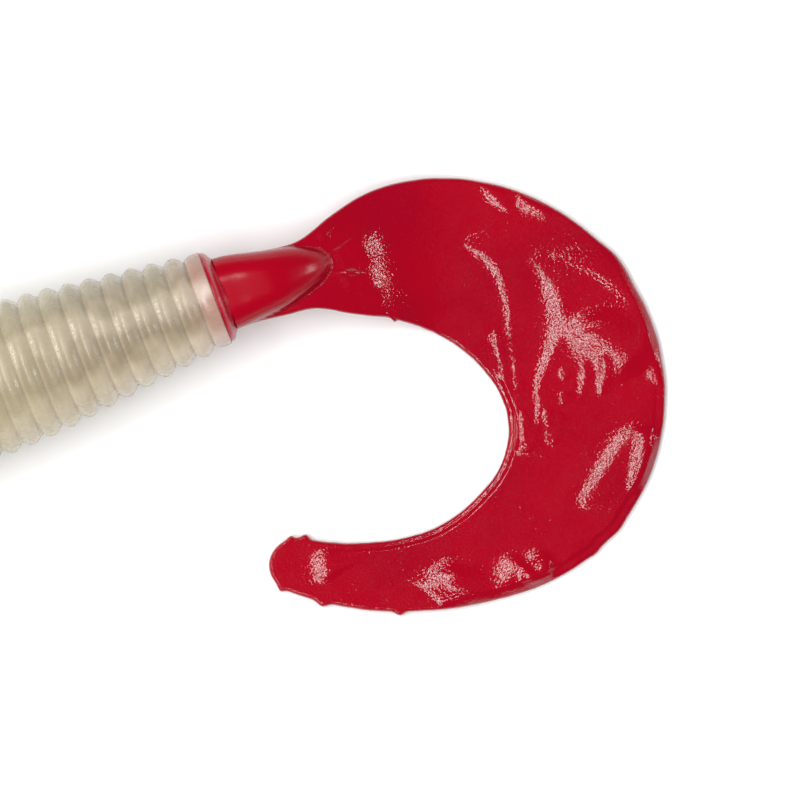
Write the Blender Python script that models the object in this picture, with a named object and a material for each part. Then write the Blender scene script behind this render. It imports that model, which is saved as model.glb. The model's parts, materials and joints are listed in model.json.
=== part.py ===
"""A ribbed soft plastic grub with a curly tail, lying on its side.

The frame: the origin is the centre of the flat nose face, +X runs along the body towards the
tail, and +Z is up. The body's axis lies on X, the tail curls round towards -Y, and everything
rests on the plane Z = -BODY_RADIUS. The body is cut at rib grooves and the tail at lines across
its midline, so that each stretch of soft plastic is one rigid link between two hinges.
"""

import math

import bmesh
import bpy
from mathutils import Matrix, Vector

MM = 0.001

# The body, in millimetres along X
NOSE_LENGTH = 2.86
NOSE_FACE_RADIUS = 3.8
NOSE_EDGE_RADIUS = 5.3
NOSE_SHOULDER = (0.35, 4.75)
NOSE_EDGE_X = 1.1
NOSE_SWELL_END = 16.0
RIB_PITCH = 2.14
RIB_DEPTH = 0.65
RIB_SHOULDERS = (0.27, 0.73)
BODY_RADIUS = 7.6
TAPER_START = 40.0
TAPER_ARC_RADIUS = 140.0
TAPER_STRAIGHT_FROM = 58.0
SECTION_RIBS = (
    ("nose_section", 4),
    ("throat_section", 5),
    ("front_section", 4),
    ("middle_section", 5),
    ("back_section", 4),
    ("waist_section", 5),
    ("rear_section", 4),
)
BODY_SIDES = 24

# The collar at the body's rear end, and the red plug that the white plastic was poured round
COLLAR_LENGTH = 1.7
COLLAR_RADIUS = 4.75
COLLAR_BEVEL = 0.45
FLANGE_LENGTH = 0.6
FLANGE_MIDDLE_RADIUS = 4.65
FLANGE_REAR_RADIUS = 4.05
PLUG_RADIUS = 2.6
PLUG_LENGTH = 7.6
PLUG_NOSE_RADIUS = 1.6
PLUG_NOSE_LENGTH = 1.2

# The tail: its midline in plan is a chain of arcs of (length, turn in degrees) from the root
TAIL_ROOT_Y = -0.45
TAIL_ARCS = (
    (4.0, -5.6),
    (10.9, 0.0),
    (22.0, -71.6),
    (22.0, -86.0),
    (12.0, -28.6),
    (15.3, -31.0),
)
TAIL_LENGTH = sum(length for length, _ in TAIL_ARCS)
TIP_RADIUS = 2.6
TIP_LEAST_HALF_WIDTH = 0.3
TAIL_HALF_WIDTHS = (
    (0.0, 3.7),
    (5.5, 3.3),
    (8.0, 3.4),
    (12.5, 5.3),
    (17.5, 6.9),
    (25.0, 8.15),
    (36.0, 8.65),
    (47.0, 7.8),
    (58.0, 6.15),
    (68.0, 4.2),
    (78.0, 3.3),
    (86.2, 2.6),
)
BLADE_THICKNESS = 1.2
BLADE_EDGE_THICKNESS = 0.8
BLADE_EDGE_FROM = 0.8
STEM_CORE_LENGTH = 13.0
STEM_CORE_HALF_HEIGHT = 3.1
STEM_CORE_HALF_WIDTH = 3.75
STEM_CORE_BLUNTNESS = 0.7
DROOP_START = 3.0
DROOP_END = 25.0
BLADE_CUTS = (13.0, 23.5, 34.0, 44.5, 55.0, 65.5, 76.0)
TAIL_NAMES = (
    "tail_stem",
    "blade_root",
    "blade_shoulder",
    "blade_crown",
    "blade_bend",
    "blade_heel",
    "blade_return",
    "blade_tip",
)
STATION_STEP = 2.2
ACROSS = (-1.0, -0.88, -0.66, -0.34, 0.0, 0.34, 0.66, 0.88, 1.0)

# The flexing
GAP = 0.3
BLADE_GAP = 0.4
BODY_FLEX_DEG = 15.0
ROOT_FLEX_DEG = 25.0
SHARP_EDGE_DEG = 50.0

PEARL = ("pearl_white_plastic", (0.72, 0.63, 0.52, 1.0), 0.38)
RED = ("red_plastic", (0.46, 0.004, 0.018, 1.0), 0.22)


def clear_scene():
    for obj in list(bpy.data.objects):
        bpy.data.objects.remove(obj)


def material(name, color, roughness):
    made = bpy.data.materials.new(name)
    made.use_nodes = True
    shader = made.node_tree.nodes["Principled BSDF"]
    shader.inputs["Base Color"].default_value = color
    shader.inputs["Roughness"].default_value = roughness
    shader.inputs["Metallic"].default_value = 0.0
    return made


def place(name, bm, surface, pivot, heading=0.0, parent=None):
    """Makes an object with its origin on its joint's axis, from a mesh in world millimetres."""
    bmesh.ops.recalc_face_normals(bm, faces=bm.faces)
    bmesh.ops.scale(bm, vec=(MM, MM, MM), verts=bm.verts)
    mesh = bpy.data.meshes.new(name)
    bm.to_mesh(mesh)
    bm.free()
    location = Vector(pivot) * MM
    mesh.transform((Matrix.Translation(location) @ Matrix.Rotation(heading, 4, "Z")).inverted())
    mesh.shade_smooth()
    mesh.set_sharp_from_angle(angle=math.radians(SHARP_EDGE_DEG))
    mesh.materials.append(surface)
    obj = bpy.data.objects.new(name, mesh)
    bpy.context.collection.objects.link(obj)
    obj.location = location
    obj.rotation_euler.z = heading
    if parent:
        obj.parent = parent
        obj.matrix_parent_inverse = parent.matrix_world.inverted()
    bpy.context.view_layer.update()
    return obj


# ---------------------------------------------------------------- the body


def crest_radius(x):
    """The radius over the ribs' crests: a swelling nose, a barrel, and a taper that straightens."""
    if x < NOSE_SWELL_END:
        along = (NOSE_SWELL_END - x) / NOSE_SWELL_END
        swell = BODY_RADIUS - NOSE_EDGE_RADIUS
        return NOSE_EDGE_RADIUS + swell * math.sqrt(1 - along * along)
    curved = min(max(0.0, x - TAPER_START), TAPER_STRAIGHT_FROM - TAPER_START)
    straight = max(0.0, x - TAPER_STRAIGHT_FROM)
    slope = (TAPER_STRAIGHT_FROM - TAPER_START) / TAPER_ARC_RADIUS
    return BODY_RADIUS - curved * curved / (2 * TAPER_ARC_RADIUS) - straight * slope


def flex_relief(radius):
    """How far a section's end stands back from its hinge at this radius."""
    return GAP / 2 + radius * math.tan(math.radians(BODY_FLEX_DEG / 2))


def rib_points(start, count):
    """The outline of some ribs: a groove, then a crest between two shoulders, and so on."""
    points = []
    for rib in range(count):
        groove = start + rib * RIB_PITCH
        points.append((groove, crest_radius(groove) - RIB_DEPTH))
        for share in RIB_SHOULDERS:
            x = groove + share * RIB_PITCH
            points.append((x, crest_radius(x)))
    return points


def flex_end(hinge_x, side):
    """A shallow cone that lets two sections tilt: side is 1 behind the hinge and -1 before it."""
    crest = crest_radius(hinge_x + side * RIB_PITCH / 2)
    cone = [(hinge_x + side * flex_relief(0), 0.0), (hinge_x + side * flex_relief(crest), crest)]
    return cone if side > 0 else cone[::-1]


def turned(profile):
    """A body of revolution about X from (x, radius) points, front to rear."""
    bm = bmesh.new()
    rings = []
    for x, radius in profile:
        if radius == 0:
            rings.append([bm.verts.new((x, 0, 0))])
            continue
        ring = []
        for side in range(BODY_SIDES):
            angle = 2 * math.pi * side / BODY_SIDES
            ring.append(bm.verts.new((x, radius * math.cos(angle), radius * math.sin(angle))))
        rings.append(ring)
    for first, second in zip(rings, rings[1:]):
        for side in range(BODY_SIDES):
            corners = [ring[(side + step) % len(ring)] for ring, step in (
                (first, 0), (first, 1), (second, 1), (second, 0)
            )]
            bm.faces.new(list(dict.fromkeys(corners)))
    for end in (rings[0], rings[-1]):
        if len(end) > 1:
            bm.faces.new(end)
    return bm


def nose_points():
    """The flat face that a hook's head butts against, and its rounded edge."""
    return [(0.0, NOSE_FACE_RADIUS), NOSE_SHOULDER, (NOSE_EDGE_X, NOSE_EDGE_RADIUS)]


def collar_points(start):
    """The last, smooth rib, and the mouth of the socket that the plug fills."""
    end = start + COLLAR_LENGTH
    socket = PLUG_RADIUS + GAP
    bottom = end - PLUG_LENGTH
    return [
        (start, crest_radius(start) - RIB_DEPTH),
        (start + COLLAR_BEVEL, COLLAR_RADIUS),
        (end, COLLAR_RADIUS),
        (end, socket),
        (bottom + PLUG_NOSE_LENGTH, socket),
        (bottom, PLUG_NOSE_RADIUS + GAP),
        (bottom, 0.0),
    ]


def make_body(surface):
    """The ribbed sections. Gives the last one, and where its collar ends."""
    start = NOSE_LENGTH
    section = None
    for index, (name, ribs) in enumerate(SECTION_RIBS):
        end = start + ribs * RIB_PITCH
        is_first = index == 0
        is_last = index == len(SECTION_RIBS) - 1
        outline = rib_points(start, ribs)
        outline = nose_points() + outline if is_first else flex_end(start, 1) + outline[2:]
        outline = outline + collar_points(end) if is_last else outline[:-1] + flex_end(end, -1)
        pivot = (0.0 if is_first else start, 0.0, 0.0)
        section = place(name, turned(outline), surface, pivot, parent=section)
        start = end
    return section, start + COLLAR_LENGTH


def make_plug(surface, collar_end, parent):
    """The red core inside the rear section, with the flange that shows behind the collar."""
    face = collar_end + GAP
    front = face - PLUG_LENGTH
    outline = [
        (front, 0.0),
        (front, PLUG_NOSE_RADIUS),
        (front + PLUG_NOSE_LENGTH, PLUG_RADIUS),
        (face, PLUG_RADIUS),
        (face, COLLAR_RADIUS),
        (face + FLANGE_LENGTH / 2, FLANGE_MIDDLE_RADIUS),
        (face + FLANGE_LENGTH, FLANGE_REAR_RADIUS),
        (face + FLANGE_LENGTH, 0.0),
    ]
    return place("tail_plug", turned(outline), surface, (face, 0.0, 0.0), parent=parent)


# ---------------------------------------------------------------- the tail


def midline(s, root_x):
    """The place in plan and the heading of the tail's midline at the distance s from its root."""
    x, y, heading = root_x, TAIL_ROOT_Y, 0.0
    for length, turn_deg in TAIL_ARCS:
        step = min(max(s, 0.0), length)
        turn = math.radians(turn_deg) * step / length
        chord = step * (math.sin(turn / 2) / (turn / 2) if turn else 1.0)
        x += chord * math.cos(heading + turn / 2)
        y += chord * math.sin(heading + turn / 2)
        heading += turn
        s -= length
    return x, y, heading


def ease(value, start, end):
    share = min(max((value - start) / (end - start), 0.0), 1.0)
    return share * share * (3 - 2 * share)


def half_width(s):
    """Half the tail's width, eased from one station to the next, with a round tip."""
    tip = TAIL_LENGTH - TIP_RADIUS
    if s > tip:
        return math.sqrt(max(TIP_RADIUS**2 - (s - tip) ** 2, TIP_LEAST_HALF_WIDTH**2))
    spans = list(zip(TAIL_HALF_WIDTHS, TAIL_HALF_WIDTHS[1:]))
    slopes = [(b[1] - a[1]) / (b[0] - a[0]) for a, b in spans]
    for index, ((s0, w0), (s1, w1)) in enumerate(spans):
        if s <= s1:
            break
    before = slopes[max(index - 1, 0)]
    after = slopes[min(index + 1, len(slopes) - 1)]
    t = (s - s0) / (s1 - s0)
    m0 = (before + slopes[index]) / 2 * (s1 - s0)
    m1 = (after + slopes[index]) / 2 * (s1 - s0)
    return (
        (2 * t**3 - 3 * t**2 + 1) * w0
        + (t**3 - 2 * t**2 + t) * m0
        + (3 * t**2 - 2 * t**3) * w1
        + (t**3 - t**2) * m1
    )


def blade_level(s):
    """The height of the blade's middle: it droops from the body's axis to the resting plane."""
    return (BLADE_THICKNESS / 2 - BODY_RADIUS) * ease(s, DROOP_START, DROOP_END)


def half_thickness(s, across):
    """Half the thickness: a flat blade with thinner edges, and the round core of the stem."""
    edge = ease(abs(across), BLADE_EDGE_FROM, 1.0)
    flat = (BLADE_THICKNESS + (BLADE_EDGE_THICKNESS - BLADE_THICKNESS) * edge) / 2
    left = max(0.0, 1 - (s / STEM_CORE_LENGTH) ** 2)
    core_width = STEM_CORE_HALF_WIDTH * math.sqrt(left)
    if core_width == 0:
        return flat
    share = across * half_width(s) / core_width
    height = STEM_CORE_HALF_HEIGHT * left**STEM_CORE_BLUNTNESS
    return max(flat, height * math.sqrt(max(0.0, 1 - share * share)))


def tail_row(bm, s, root_x, side, lean=0.0):
    """Points across the tail: side is 1 on top, 0 in the middle and -1 below; lean sets them back."""
    row = []
    for across in ACROSS:
        rise = side * half_thickness(s, across)
        x, y, heading = midline(s + lean * abs(rise), root_x)
        offset = across * half_width(s)
        place_x = x - offset * math.sin(heading)
        place_y = y + offset * math.cos(heading)
        row.append(bm.verts.new((place_x, place_y, blade_level(s) + rise)))
    return row


def bridge(bm, first, second):
    """A strip of quads between two rows of points."""
    for index in range(len(first) - 1):
        bm.faces.new((first[index], first[index + 1], second[index + 1], second[index]))


def tail_link(start, end, root_x, lean):
    """One stretch of the tail as a closed solid. Lean makes its front end a wedge."""
    steps = math.ceil((end - start) / STATION_STEP)
    stations = [start + (end - start) * step / steps for step in range(steps + 1)]
    leans = [lean] + [0.0] * steps
    bm = bmesh.new()
    top = [tail_row(bm, s, root_x, 1, back) for s, back in zip(stations, leans)]
    bottom = [tail_row(bm, s, root_x, -1, back) for s, back in zip(stations, leans)]
    apex = tail_row(bm, start, root_x, 0)
    for layer in (top, bottom):
        for before, after in zip(layer, layer[1:]):
            bridge(bm, before, after)
    bridge(bm, top[0], apex)
    bridge(bm, apex, bottom[0])
    bridge(bm, top[-1], bottom[-1])
    for edge in (0, -1):
        bm.faces.new((top[0][edge], apex[edge], bottom[0][edge], bottom[1][edge], top[1][edge]))
        for step in range(1, steps):
            upper = (top[step + 1][edge], top[step][edge])
            bm.faces.new(upper + (bottom[step][edge], bottom[step + 1][edge]))
    return bm


def make_tail(surface, root_x, parent):
    cuts = (0.0,) + BLADE_CUTS
    ends = BLADE_CUTS + (TAIL_LENGTH,)
    for index, (name, cut, end) in enumerate(zip(TAIL_NAMES, cuts, ends)):
        x, y, heading = midline(cut, root_x)
        is_stem = index == 0
        start = cut + (GAP if is_stem else BLADE_GAP / 2)
        stop = end if name == TAIL_NAMES[-1] else end - BLADE_GAP / 2
        lean = math.tan(math.radians(ROOT_FLEX_DEG)) if is_stem else 0.0
        pivot = (x, y, blade_level(cut))
        bm = tail_link(start, stop, root_x, lean)
        parent = place(name, bm, surface, pivot, heading, parent)


def main():
    clear_scene()
    pearl = material(*PEARL)
    red = material(*RED)
    rear, collar_end = make_body(pearl)
    plug = make_plug(red, collar_end, rear)
    root_x = collar_end + GAP + FLANGE_LENGTH + GAP / 2
    make_tail(red, root_x, plug)


main()
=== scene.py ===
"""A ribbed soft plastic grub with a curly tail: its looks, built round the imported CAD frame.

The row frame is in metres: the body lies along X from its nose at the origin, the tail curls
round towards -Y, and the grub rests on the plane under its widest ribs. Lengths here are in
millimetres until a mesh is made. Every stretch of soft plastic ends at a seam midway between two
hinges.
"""

import json
import math

import bpy
import numpy as np
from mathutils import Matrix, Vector, noise


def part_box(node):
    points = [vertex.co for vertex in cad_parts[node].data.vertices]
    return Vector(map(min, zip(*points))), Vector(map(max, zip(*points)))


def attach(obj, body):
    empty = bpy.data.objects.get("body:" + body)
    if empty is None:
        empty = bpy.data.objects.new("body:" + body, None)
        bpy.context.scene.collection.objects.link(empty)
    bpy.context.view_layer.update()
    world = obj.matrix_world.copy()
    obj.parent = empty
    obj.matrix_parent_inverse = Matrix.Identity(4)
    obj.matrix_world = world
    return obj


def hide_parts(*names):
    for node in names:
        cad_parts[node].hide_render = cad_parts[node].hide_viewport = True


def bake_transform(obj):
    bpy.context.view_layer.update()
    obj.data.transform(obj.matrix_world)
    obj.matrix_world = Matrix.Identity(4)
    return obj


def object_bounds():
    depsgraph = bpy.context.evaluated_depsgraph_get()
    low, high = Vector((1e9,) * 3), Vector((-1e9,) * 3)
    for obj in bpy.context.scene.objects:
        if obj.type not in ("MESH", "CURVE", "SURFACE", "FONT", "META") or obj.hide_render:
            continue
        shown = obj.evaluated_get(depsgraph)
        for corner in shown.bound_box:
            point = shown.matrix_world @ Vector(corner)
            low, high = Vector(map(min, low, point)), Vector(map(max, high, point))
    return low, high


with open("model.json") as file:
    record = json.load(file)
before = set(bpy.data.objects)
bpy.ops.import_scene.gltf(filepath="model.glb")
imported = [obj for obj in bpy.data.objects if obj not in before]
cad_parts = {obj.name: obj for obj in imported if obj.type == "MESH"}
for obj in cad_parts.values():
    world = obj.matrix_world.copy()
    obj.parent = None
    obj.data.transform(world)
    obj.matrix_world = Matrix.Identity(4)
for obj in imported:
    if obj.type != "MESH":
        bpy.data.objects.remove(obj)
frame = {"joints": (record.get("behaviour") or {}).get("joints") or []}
cad_low, cad_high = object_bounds()

MM = 0.001
JOINTS = {joint["name"]: joint for joint in frame["joints"]}

# ------------------------------------------------------------------ the body's measures

NOSE_LENGTH = 2.86
NOSE_FACE_RADIUS = 3.8
NOSE_FACE_RINGS = (0.15, 2.0, 3.5)
NOSE_EDGE_RADIUS = 5.3
NOSE_EDGE_X = 1.5
NOSE_EDGE_RINGS = 11
NOSE_FALL_RINGS = 8
NOSE_RIB = -1
NOSE_SWELL_END = 16.0
RIB_PITCH = 2.14
RIB_DEPTH = 0.66
RIB_ROUNDNESS = 1.15
RIB_COUNT = 31
BODY_RADIUS = 7.6
TAPER_START = 40.0
TAPER_ARC_RADIUS = 140.0
TAPER_STRAIGHT_FROM = 58.0
COLLAR_RADIUS = 4.8
COLLAR_RINGS = 18
COLLAR_ARC_DEG = 118.0
COLLAR_BORE_RADIUS = 3.0
BODY_ROUND = 216
RINGS_PER_RIB = 12
RIB_WANDER = 0.05
RIB_LEAN = 0.06
SURFACE_WANDER = 0.07
# Nearer to the axis than this, the surface grows even
CALM_RADIUS = 3.0
PARTING_RIDGE = 0.07
PARTING_WIDTH_DEG = 1.1

# Each stretch of body: (name, hinge inside it, CAD node, rib whose groove ends it)
BODY_PIECES = (
    ("grub_nose", "body_flex_1", "nose_section", 6),
    ("grub_throat", "body_flex_2", "throat_section", 11),
    ("grub_front", "body_flex_3", "front_section", 16),
    ("grub_middle", "body_flex_4", "middle_section", 20),
    ("grub_back", "body_flex_5", "back_section", 25),
    ("grub_waist", "body_flex_6", "waist_section", 29),
)

# ------------------------------------------------------------------ the tail's measures

# The tail's midline in plan: (length of the arc, degrees that it turns to the left)
TAIL_ARCS = (
    (4.0, -5.6),
    (10.9, 0.0),
    (22.0, -71.6),
    (22.0, -86.0),
    (12.0, -28.6),
    (15.3, -31.0),
)
TAIL_LENGTH = 86.2
TIP_RADIUS = 2.6
# (distance along the tail, half its width)
TAIL_HALF_WIDTHS = (
    (0.0, 3.75),
    (5.5, 3.4),
    (8.0, 3.45),
    (12.5, 5.3),
    (17.5, 6.9),
    (25.0, 8.15),
    (36.0, 8.65),
    (47.0, 7.8),
    (58.0, 6.15),
    (68.0, 4.2),
    (78.0, 3.25),
    (86.2, 2.6),
)
DROOP = 7.0
DROOP_START = 3.0
DROOP_END = 25.0
PLATEAU_HALF = 0.6
LIP_HALF = 0.36
LIP_WIDTH_OUTER = 0.8
LIP_WIDTH_INNER = 0.5
BEVEL_WIDTH = 0.45
EDGE_ROUNDING = 0.32
# Where flash stands as a lip on the outer edge, 1, and the inner, -1: it rises over the first two
# distances along the tail and falls over the last two.
LIP_STRETCHES = {1: (41.0, 50.0, 61.0, 69.0), -1: (34.0, 42.0, 74.0, 82.0)}
# The outline's own waviness: (length of a wave, height)
EDGE_WAVES = ((3.7, 0.05), (1.3, 0.03))
EDGE_WAVES_RISE = (6.0, 14.0)
CORE_LENGTH = 11.1
CORE_HALF_WIDTH = 3.5
CORE_ROOT_SWELL = 0.3
CORE_ROOT_LENGTH = 4.0
CORE_HALF_HEIGHT = 3.4
CORE_KEEL_LOSS = 0.5
# The top of the stem's core over the body's axis: (distance along the tail, height)
CORE_CROWN = (
    (0.0, 3.45),
    (1.2, 3.46),
    (2.8, 3.53),
    (4.2, 3.42),
    (6.0, 2.85),
    (8.0, 1.8),
    (10.0, 0.65),
    (11.1, 0.0),
)
CORE_SQUARENESS = 2.5
CORE_END_SQUARENESS = 8
CORE_FAR = 9.0
CORE_OFFSET = 0.7
CORE_FILLET = 0.3
ROOT_LEAN = 0.45
ROOT_LEAN_LENGTH = 6.0
TAIL_SEAMS = (7.25, 18.25, 28.75, 39.25, 49.75, 60.25, 70.75)
# Each stretch of tail: (name, hinge inside it, CAD node)
TAIL_PIECES = (
    ("tail_stem_skin", "tail_root_flex", "tail_stem"),
    ("tail_root_skin", "blade_flex_1", "blade_root"),
    ("tail_shoulder_skin", "blade_flex_2", "blade_shoulder"),
    ("tail_crown_skin", "blade_flex_3", "blade_crown"),
    ("tail_bend_skin", "blade_flex_4", "blade_bend"),
    ("tail_heel_skin", "blade_flex_5", "blade_heel"),
    ("tail_return_skin", "blade_flex_6", "blade_return"),
    ("tail_tip_skin", "blade_flex_7", "blade_tip"),
)
STATION_STEP = 0.27
TIP_RINGS = 22
# Short of 90, where the tip would close to a point
TIP_LAST_DEG = 86
# Columns close behind each edge, as distances in from it
EDGE_OFFSETS = (0.0, 0.03, 0.09, 0.17, 0.3, 0.45, 0.6, 0.74, 0.88, 1.02, 1.16, 1.32, 1.55)
INNER_COLUMNS = 62

# The red core's nose, as (distance behind its front, radius), its end and the flange's rim, as
# (distance behind the collar's face, radius), and the flange's back, as (distance behind its CAD
# solid, radius)
PLUG_NOSE = ((0.0, 0.2), (0.0, 1.4), (0.5, 2.1), (1.4, 2.5))
FLANGE_RIM = (
    (-0.1, 2.6),
    (0.01, 2.9),
    (0.01, 4.1),
    (0.01, 4.66),
    (0.05, 4.7),
    (0.15, 4.71),
    (0.27, 4.67),
    (0.38, 4.6),
    (0.48, 4.5),
    (0.58, 4.36),
    (0.67, 4.2),
    (0.76, 4.03),
    (0.86, 3.9),
)
FLANGE_BACK = ((0.1, 3.75), (0.25, 3.55), (0.4, 3.3), (0.4, 0.2))

# Nubs of flash on the outline: (distance along the tail, side, height, half length)
NUBS = (
    (16.1, -1, 0.32, 0.35),
    (34.8, 1, 0.30, 1.6),
    (54.0, 1, 0.22, 0.8),
    (56.3, 1, 0.16, 0.5),
    (73.2, 1, 0.40, 0.45),
    (80.2, 1, 0.45, 0.6),
    (84.2, 1, 0.35, 0.4),
    (83.4, -1, 0.42, 0.5),
    (85.0, -1, 0.40, 0.35),
)

# Soft folds in the blade: (steepness, width behind over width in front, points). The points follow
# the steepest line of the fold's front, which falls away to the left of the line's own direction.
# Each is (distance along the tail, distance to the left of its midline, width of the front).
FOLDS = (
    # across the blade, just past the stem
    (1.05, 1.5, ((14.7, 4.2, 0.3), (15.3, 2.6, 1.2), (15.5, 0.6, 1.3), (15.4, -0.9, 1.2),
                 (15.1, -2.2, 1.1), (14.8, -3.4, 0.8), (14.4, -4.6, 0.25))),
    (0.35, 1.5, ((14.6, 5.0, 0.4), (15.2, 3.0, 1.2), (15.5, 1.4, 1.3), (15.4, 0.2, 1.0),
                 (15.2, -1.0, 0.3))),
    # a low rise that flattens the inner edge beside them
    (0.55, 3.0, ((16.6, -7.0, 0.6), (16.6, -5.8, 1.2), (16.5, -4.9, 0.9), (16.4, -4.1, 0.3))),
    # small wrinkles at the stem's tip
    (1.0, 1.5, ((12.0, 1.9, 0.1), (12.6, 0.4, 0.25), (12.6, -1.3, 0.25), (12.3, -3.2, 0.1))),
    (2.0, 1.5, ((13.5, -0.4, 0.12), (13.3, -1.1, 0.55), (13.1, -1.8, 0.12))),
    (1.0, 1.5, ((11.3, 4.4, 0.15), (11.4, 3.4, 0.4), (10.9, 2.5, 0.15))),
    # two short folds near the outer edge of the shoulder
    (1.1, 1.5, ((26.9, 5.8, 0.15), (26.0, 6.2, 0.4), (25.0, 6.8, 0.5), (24.2, 7.5, 0.3),
                 (23.6, 8.0, 0.15))),
    (1.2, 1.5, ((29.8, 7.2, 0.2), (28.6, 7.2, 0.6), (27.6, 7.2, 0.7), (26.6, 7.6, 0.2))),
    # the long crease along the inner side, and a short one beside it
    (1.0, 3.0, ((53.4, -5.6, 0.15), (50.5, -6.4, 0.45), (48.0, -6.9, 0.45), (46.0, -7.0, 0.25),
                 (44.0, -7.1, 0.22), (38.7, -6.3, 0.25), (33.9, -4.7, 0.32), (30.3, -1.9, 0.45),
                 (28.2, -0.2, 0.6), (26.6, 0.7, 0.6), (25.0, 1.2, 0.45), (23.6, 1.6, 0.12))),
    (1.0, 1.5, ((47.0, -7.9, 0.2), (38.8, -7.6, 0.22), (34.1, -6.4, 0.3), (32.2, -5.7, 0.5),
                 (31.3, -5.0, 0.15))),
    # the wide fold down the middle, and the short creases at its foot
    (1.0, 3.5, ((53.5, -5.1, 0.15), (48.4, -5.1, 0.35), (44.8, -4.8, 0.4), (42.0, -4.7, 0.5),
                 (39.5, -3.5, 0.65), (37.2, -1.3, 0.95), (35.3, 0.4, 1.3), (33.5, 1.5, 1.15),
                 (31.8, 2.3, 0.75), (30.4, 2.8, 0.4), (29.0, 3.3, 0.1))),
    (1.0, 1.5, ((52.6, -5.9, 0.15), (50.8, -6.0, 0.45), (48.7, -6.3, 0.45), (46.4, -6.5, 0.3),
                 (44.6, -6.5, 0.12))),
    (1.1, 1.5, ((50.1, -3.4, 0.12), (48.4, -3.7, 0.35), (46.6, -4.0, 0.4), (44.8, -4.2, 0.12))),
    (1.1, 1.5, ((50.0, -3.1, 0.12), (48.0, -2.9, 0.35), (46.5, -2.9, 0.4), (45.3, -3.0, 0.12))),
    (1.0, 1.5, ((44.9, -2.6, 0.1), (43.7, -2.4, 0.4), (42.5, -2.2, 0.1))),
    (1.0, 1.5, ((42.0, -2.0, 0.1), (41.1, -1.9, 0.35), (40.2, -2.0, 0.1))),
    # the webbed patch between the middle and the outer edge, and its fingers
    (1.1, 1.0, ((43.6, 5.6, 1.0), (42.2, 4.2, 2.0), (40.8, 2.8, 2.1), (39.5, 1.8, 1.9),
                 (38.0, 0.9, 1.2), (36.0, -0.1, 0.4))),
    (1.1, 1.5, ((44.4, -0.8, 0.12), (43.2, -0.4, 0.28), (41.8, 0.1, 0.32), (40.2, 0.5, 0.12))),
    (1.1, 1.5, ((44.1, 1.3, 0.12), (43.0, 1.6, 0.32), (41.6, 2.1, 0.36), (40.2, 2.6, 0.12))),
    # a short ladder of creases at the outer edge
    (1.15, 1.5, ((43.4, 6.9, 0.12), (42.3, 6.4, 0.38), (41.3, 6.4, 0.38), (40.3, 6.7, 0.35),
                 (39.3, 7.3, 0.12))),
    (1.4, 1.5, ((43.9, 7.3, 0.12), (42.8, 7.2, 0.38), (41.6, 7.2, 0.35), (40.4, 7.5, 0.3),
                 (39.4, 7.7, 0.12))),
    # the arc that runs back from the ladder
    (1.1, 1.5, ((40.4, 7.6, 0.12), (39.0, 7.3, 0.4), (37.8, 7.1, 0.6), (36.3, 6.7, 0.8),
                 (34.8, 6.1, 0.8), (33.4, 5.4, 0.6), (32.2, 4.7, 0.3), (31.2, 3.9, 0.12))),
    # the arched patch on the lower blade
    (1.0, 1.5, ((54.6, 2.0, 0.2), (53.0, 2.1, 0.6), (51.0, 2.4, 0.95), (49.0, 2.9, 1.0),
                 (47.4, 3.8, 0.9), (46.0, 5.4, 0.3))),
    (1.9, 1.5, ((51.6, 6.0, 0.2), (49.6, 5.9, 0.9), (48.0, 5.7, 0.9), (46.1, 5.4, 0.2))),
    # two folds where the blade turns back
    (1.0, 2.0, ((65.2, 4.3, 0.2), (63.6, 2.9, 1.2), (62.3, 1.8, 1.1), (60.8, 1.1, 0.2))),
    (1.6, 1.5, ((62.8, 4.3, 0.15), (61.4, 3.6, 0.9), (59.9, 3.2, 1.1), (58.3, 3.6, 0.2))),
    # two soft waves towards the tip
    (1.0, 1.5, ((70.4, 3.2, 0.4), (69.6, 2.2, 1.8), (69.0, 0.9, 1.9), (68.5, -0.5, 1.2),
                 (68.2, -1.7, 0.3))),
    (1.0, 1.5, ((80.0, 1.6, 0.2), (80.7, 0.6, 0.8), (81.2, -0.4, 1.0), (81.6, -1.4, 0.7),
                 (82.1, -2.2, 0.2))),
)
# The slope of a front whose steepness is 1, and the steepest slope of a bell one high and one wide
FOLD_SLOPE = 0.232
BELL_STEEPEST = 0.607
# A fold fades in over this many of its widths at each end, over these distances in from the
# blade's edge, and over these distances along the tail.
FOLD_FADE = 1.3
FOLD_EDGE_FADE = (0.05, 0.8)
FOLD_ROOT_FADE = (9.5, 11.0)
FOLD_STEPS = 12

# ------------------------------------------------------------------ general helpers


def ease(value, start, end):
    """From 0 at the start to 1 at the end, with a soft beginning and finish."""
    share = np.clip((np.asarray(value, float) - start) / (end - start), 0.0, 1.0)
    return share * share * (3 - 2 * share)


def smooth_max(first, second, fillet):
    """The larger of two heights, with a fillet where they cross."""
    return 0.5 * (first + second + np.sqrt((first - second) ** 2 + fillet * fillet))


def quarter_round(inside, radius):
    """From 0 at an edge to 1 at the radius in from it, along a quarter of a circle."""
    share = np.clip(inside / radius, 0.0, 1.0)
    return np.sqrt(1 - (1 - share) ** 2)


def unit(vectors):
    """The vectors at length one."""
    return vectors / np.maximum(np.linalg.norm(vectors, axis=-1, keepdims=True), 1e-12)


def curve_through(stations, table):
    """Values at the stations of a smooth curve through (place, value) points."""
    places = np.array([row[0] for row in table], float)
    values = np.array([row[1] for row in table], float)
    slopes = np.gradient(values, places)
    index = np.clip(np.searchsorted(places, stations, side="right") - 1, 0, len(places) - 2)
    span = places[index + 1] - places[index]
    t = (np.clip(stations, places[0], places[-1]) - places[index]) / span
    return (
        (2 * t**3 - 3 * t**2 + 1) * values[index]
        + (t**3 - 2 * t**2 + t) * slopes[index] * span
        + (3 * t**2 - 2 * t**3) * values[index + 1]
        + (t**3 - t**2) * slopes[index + 1] * span
    )


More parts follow.
